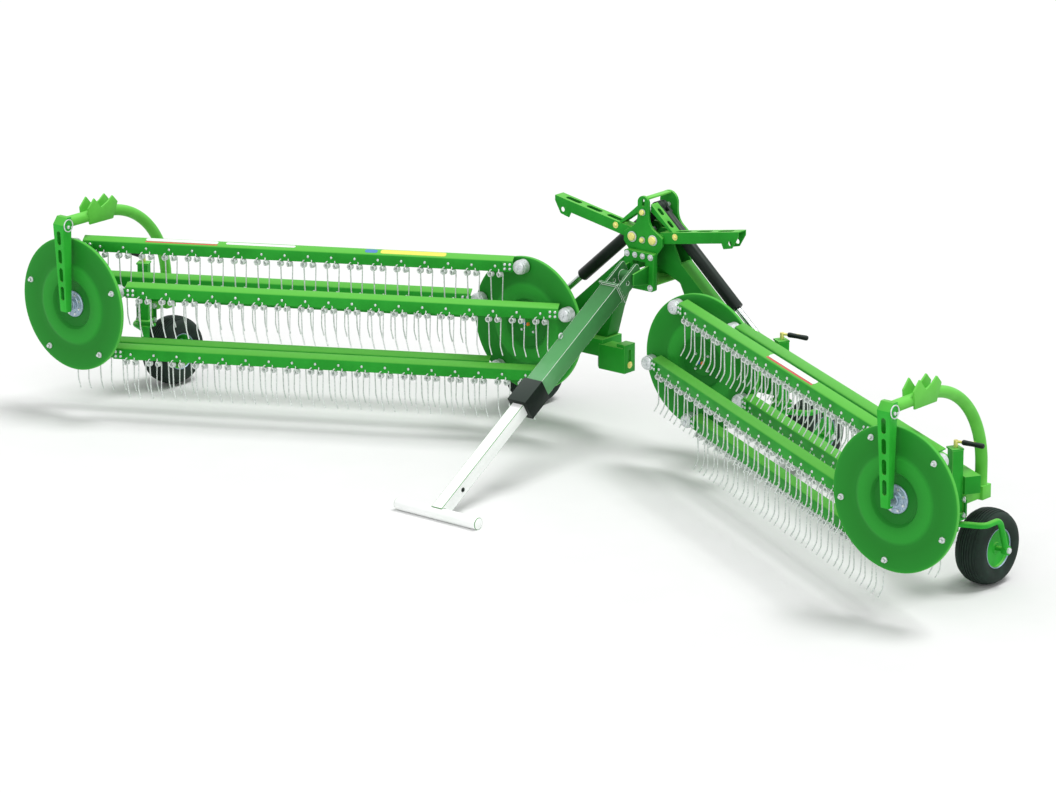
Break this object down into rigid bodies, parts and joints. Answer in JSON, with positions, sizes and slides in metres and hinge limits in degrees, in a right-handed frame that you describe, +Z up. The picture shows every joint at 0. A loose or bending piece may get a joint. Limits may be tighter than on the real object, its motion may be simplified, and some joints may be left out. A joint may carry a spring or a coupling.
{
  "type": "basket hay rake",
  "caption": "Trailed hay rake with two oblique tine-bar reels on folding arms, caster wheels, a mast and a telescopic parking leg.",
  "frame": {"origin": "on the ground, below the middle of the whole machine", "axes": "+Z up, +X across the working width, the parking leg points to -Y"},
  "size_m": [7.28, 2.5344, 1.6099],
  "materials": {
    "green_paint": "gloss enamel",
    "light_green_paint": "gloss enamel",
    "dark_green_paint": "gloss enamel",
    "zinc": "zinc plated",
    "yellow_zinc": "yellow passivated zinc",
    "black_paint": "satin black paint",
    "rubber": "matt black",
    "pale_steel": "pale satin enamel"
  },
  "bodies": {
    "mast": {"mast_front_plate": "dark_green_paint", "mast_rear_plate": "green_paint", "mast_bridge": "light_green_paint", "hitch_plate": "dark_green_paint", "mast_pins": "yellow_zinc", "leg_bracket": "green_paint", "lock_arm_left": "green_paint", "lock_arm_right": "green_paint"},
    "arm_left": {"swan_neck_left": "dark_green_paint", "beam_left": "green_paint", "wheel_posts_left": "green_paint", "cranks_left": "yellow_zinc", "reel_bearing_left": "green_paint", "gooseneck_left": "light_green_paint", "hub_link_left": "green_paint"},
    "barrel_left": {"barrel_left": "black_paint"},
    "rod_left": {"rod_left": "zinc"},
    "disc_inner_left": {"disc_inner_left": "dark_green_paint"},
    "disc_outer_left": {"disc_outer_left": "dark_green_paint"},
    "tine_bar_left_1": {"tine_bar_left_1": "green_paint"},
    "tine_bar_left_2": {"tine_bar_left_2": "green_paint"},
    "tine_bar_left_3": {"tine_bar_left_3": "green_paint"},
    "tine_bar_left_4": {"tine_bar_left_4": "green_paint"},
    "tine_bar_left_5": {"tine_bar_left_5": "green_paint"},
    "caster_inner_left": {"caster_inner_left": "green_paint"},
    "wheel_inner_left": {"tyre_inner_left": "rubber", "rim_inner_left": "green_paint"},
    "caster_outer_left": {"caster_outer_left": "green_paint"},
    "wheel_outer_left": {"tyre_outer_left": "rubber", "rim_outer_left": "green_paint"},
    "arm_right": {"swan_neck_right": "dark_green_paint", "beam_right": "green_paint", "wheel_posts_right": "green_paint", "cranks_right": "yellow_zinc", "reel_bearing_right": "green_paint", "gooseneck_right": "light_green_paint", "hub_link_right": "green_paint"},
    "barrel_right": {"barrel_right": "black_paint"},
    "rod_right": {"rod_right": "zinc"},
    "disc_inner_right": {"disc_inner_right": "dark_green_paint"},
    "disc_outer_right": {"disc_outer_right": "dark_green_paint"},
    "tine_bar_right_1": {"tine_bar_right_1": "green_paint"},
    "tine_bar_right_2": {"tine_bar_right_2": "green_paint"},
    "tine_bar_right_3": {"tine_bar_right_3": "green_paint"},
    "tine_bar_right_4": {"tine_bar_right_4": "green_paint"},
    "tine_bar_right_5": {"tine_bar_right_5": "green_paint"},
    "caster_inner_right": {"caster_inner_right": "green_paint"},
    "wheel_inner_right": {"tyre_inner_right": "rubber", "rim_inner_right": "green_paint"},
    "caster_outer_right": {"caster_outer_right": "green_paint"},
    "wheel_outer_right": {"tyre_outer_right": "rubber", "rim_outer_right": "green_paint"},
    "leg": {"leg_tube": "light_green_paint", "leg_collar": "black_paint"},
    "leg_extension": {"leg_slide": "pale_steel", "leg_foot": "pale_steel"}
  },
  "joints": [
    {"name": "fold_left", "type": "hinge", "parent": "mast", "child": "arm_left", "pos_m": [-0.081, 0.90925, 1.34], "axis": [0, 1, 0], "range_deg": [0, 85]},
    {"name": "barrel_left_swing", "type": "hinge", "parent": "mast", "child": "barrel_left", "pos_m": [0, 0.90925, 1.507], "axis": [0, 1, 0], "range_deg": [0, 80]},
    {"name": "rod_left_stroke", "type": "slide", "parent": "barrel_left", "child": "rod_left", "axis": [-0.7477, 0, -0.664], "range_m": [-0.2238, 0]},
    {"name": "reel_left_spin", "type": "hinge", "parent": "arm_left", "child": "disc_inner_left", "pos_m": [-0.69, 0.45225, 0.73], "axis": [0, 1, 0], "continuous": true},
    {"name": "disc_outer_left_spin", "type": "hinge", "parent": "arm_left", "child": "disc_outer_left", "pos_m": [-3.21, -1.03475, 0.73], "axis": [0, 1, 0], "continuous": true},
    {"name": "tine_bar_left_1_hang", "type": "hinge", "parent": "disc_inner_left", "child": "tine_bar_left_1", "pos_m": [-1.05005, 0.40225, 0.8312], "axis": [0, 1, 0], "continuous": true},
    {"name": "tine_bar_left_2_hang", "type": "hinge", "parent": "disc_inner_left", "child": "tine_bar_left_2", "pos_m": [-0.70501, 0.40225, 1.1037], "axis": [0, 1, 0], "continuous": true},
    {"name": "tine_bar_left_3_hang", "type": "hinge", "parent": "disc_inner_left", "child": "tine_bar_left_3", "pos_m": [-0.33923, 0.40225, 0.85975], "axis": [0, 1, 0], "continuous": true},
    {"name": "tine_bar_left_4_hang", "type": "hinge", "parent": "disc_inner_left", "child": "tine_bar_left_4", "pos_m": [-0.4582, 0.40225, 0.43649], "axis": [0, 1, 0], "continuous": true},
    {"name": "tine_bar_left_5_hang", "type": "hinge", "parent": "disc_inner_left", "child": "tine_bar_left_5", "pos_m": [-0.89751, 0.40225, 0.41885], "axis": [0, 1, 0], "continuous": true},
    {"name": "caster_inner_left_swivel", "type": "hinge", "parent": "arm_left", "child": "caster_inner_left", "pos_m": [-1.075, 0.75225, 0.5], "axis": [0, 0, 1], "range_deg": [-60, 60]},
    {"name": "wheel_inner_left_spin", "type": "hinge", "parent": "caster_inner_left", "child": "wheel_inner_left", "pos_m": [-1.11, 1.04225, 0.225], "axis": [1, 0, 0], "continuous": true},
    {"name": "caster_outer_left_swivel", "type": "hinge", "parent": "arm_left", "child": "caster_outer_left", "pos_m": [-3.18019, -0.40644, 0.5], "axis": [0, 0, 1], "range_deg": [-60, 60]},
    {"name": "wheel_outer_left_spin", "type": "hinge", "parent": "caster_outer_left", "child": "wheel_outer_left", "pos_m": [-3.21519, -0.11644, 0.225], "axis": [1, 0, 0], "continuous": true},
    {"name": "fold_right", "type": "hinge", "parent": "mast", "child": "arm_right", "pos_m": [0.081, 0.90925, 1.34], "axis": [0, -1, 0], "range_deg": [0, 85]},
    {"name": "barrel_right_swing", "type": "hinge", "parent": "mast", "child": "barrel_right", "pos_m": [0, 0.90925, 1.507], "axis": [0, -1, 0], "range_deg": [0, 80]},
    {"name": "rod_right_stroke", "type": "slide", "parent": "barrel_right", "child": "rod_right", "axis": [0.7477, 0, -0.664], "range_m": [-0.2238, 0]},
    {"name": "reel_right_spin", "type": "hinge", "parent": "arm_right", "child": "disc_inner_right", "pos_m": [0.69, 0.45225, 0.73], "axis": [0, 1, 0], "continuous": true},
    {"name": "disc_outer_right_spin", "type": "hinge", "parent": "arm_right", "child": "disc_outer_right", "pos_m": [3.21, -1.03475, 0.73], "axis": [0, 1, 0], "continuous": true},
    {"name": "tine_bar_right_1_hang", "type": "hinge", "parent": "disc_inner_right", "child": "tine_bar_right_1", "pos_m": [0.95538, 0.40225, 0.99353], "axis": [0, 1, 0], "continuous": true},
    {"name": "tine_bar_right_2_hang", "type": "hinge", "parent": "disc_inner_right", "child": "tine_bar_right_2", "pos_m": [0.52137, 0.40225, 1.06383], "axis": [0, 1, 0], "continuous": true},
    {"name": "tine_bar_right_3_hang", "type": "hinge", "parent": "disc_inner_right", "child": "tine_bar_right_3", "pos_m": [0.3204, 0.40225, 0.67278], "axis": [0, 1, 0], "continuous": true},
    {"name": "tine_bar_right_4_hang", "type": "hinge", "parent": "disc_inner_right", "child": "tine_bar_right_4", "pos_m": [0.6302, 0.40225, 0.36081], "axis": [0, 1, 0], "continuous": true},
    {"name": "tine_bar_right_5_hang", "type": "hinge", "parent": "disc_inner_right", "child": "tine_bar_right_5", "pos_m": [1.02264, 0.40225, 0.55905], "axis": [0, 1, 0], "continuous": true},
    {"name": "caster_inner_right_swivel", "type": "hinge", "parent": "arm_right", "child": "caster_inner_right", "pos_m": [1.075, 0.75225, 0.5], "axis": [0, 0, 1], "range_deg": [-60, 60]},
    {"name": "wheel_inner_right_spin", "type": "hinge", "parent": "caster_inner_right", "child": "wheel_inner_right", "pos_m": [1.11, 1.04225, 0.225], "axis": [1, 0, 0], "continuous": true},
    {"name": "caster_outer_right_swivel", "type": "hinge", "parent": "arm_right", "child": "caster_outer_right", "pos_m": [3.18019, -0.40644, 0.5], "axis": [0, 0, 1], "range_deg": [-60, 60]},
    {"name": "wheel_outer_right_spin", "type": "hinge", "parent": "caster_outer_right", "child": "wheel_outer_right", "pos_m": [3.21519, -0.11644, 0.225], "axis": [1, 0, 0], "continuous": true},
    {"name": "leg_lift", "type": "hinge", "parent": "mast", "child": "leg", "pos_m": [0, 0.59225, 1.125], "axis": [-1, 0, 0], "range_deg": [0, 45]},
    {"name": "leg_length", "type": "slide", "parent": "leg", "child": "leg_extension", "axis": [0, 0.8518, 0.5238], "range_m": [0, 0.5]}
  ],
  "couplings": [
    {"joint": "barrel_left_swing", "follows": "fold_left", "ratio": 0.92909},
    {"joint": "rod_left_stroke", "follows": "fold_left", "m_per_rad": -0.14947},
    {"joint": "disc_outer_left_spin", "follows": "reel_left_spin", "ratio": 1},
    {"joint": "tine_bar_left_1_hang", "follows": "reel_left_spin", "ratio": -1},
    {"joint": "tine_bar_left_2_hang", "follows": "reel_left_spin", "ratio": -1},
    {"joint": "tine_bar_left_3_hang", "follows": "reel_left_spin", "ratio": -1},
    {"joint": "tine_bar_left_4_hang", "follows": "reel_left_spin", "ratio": -1},
    {"joint": "tine_bar_left_5_hang", "follows": "reel_left_spin", "ratio": -1},
    {"joint": "barrel_right_swing", "follows": "fold_right", "ratio": 0.92909},
    {"joint": "rod_right_stroke", "follows": "fold_right", "m_per_rad": -0.14947},
    {"joint": "disc_outer_right_spin", "follows": "reel_right_spin", "ratio": 1},
    {"joint": "tine_bar_right_1_hang", "follows": "reel_right_spin", "ratio": -1},
    {"joint": "tine_bar_right_2_hang", "follows": "reel_right_spin", "ratio": -1},
    {"joint": "tine_bar_right_3_hang", "follows": "reel_right_spin", "ratio": -1},
    {"joint": "tine_bar_right_4_hang", "follows": "reel_right_spin", "ratio": -1},
    {"joint": "tine_bar_right_5_hang", "follows": "reel_right_spin", "ratio": -1}
  ]
}
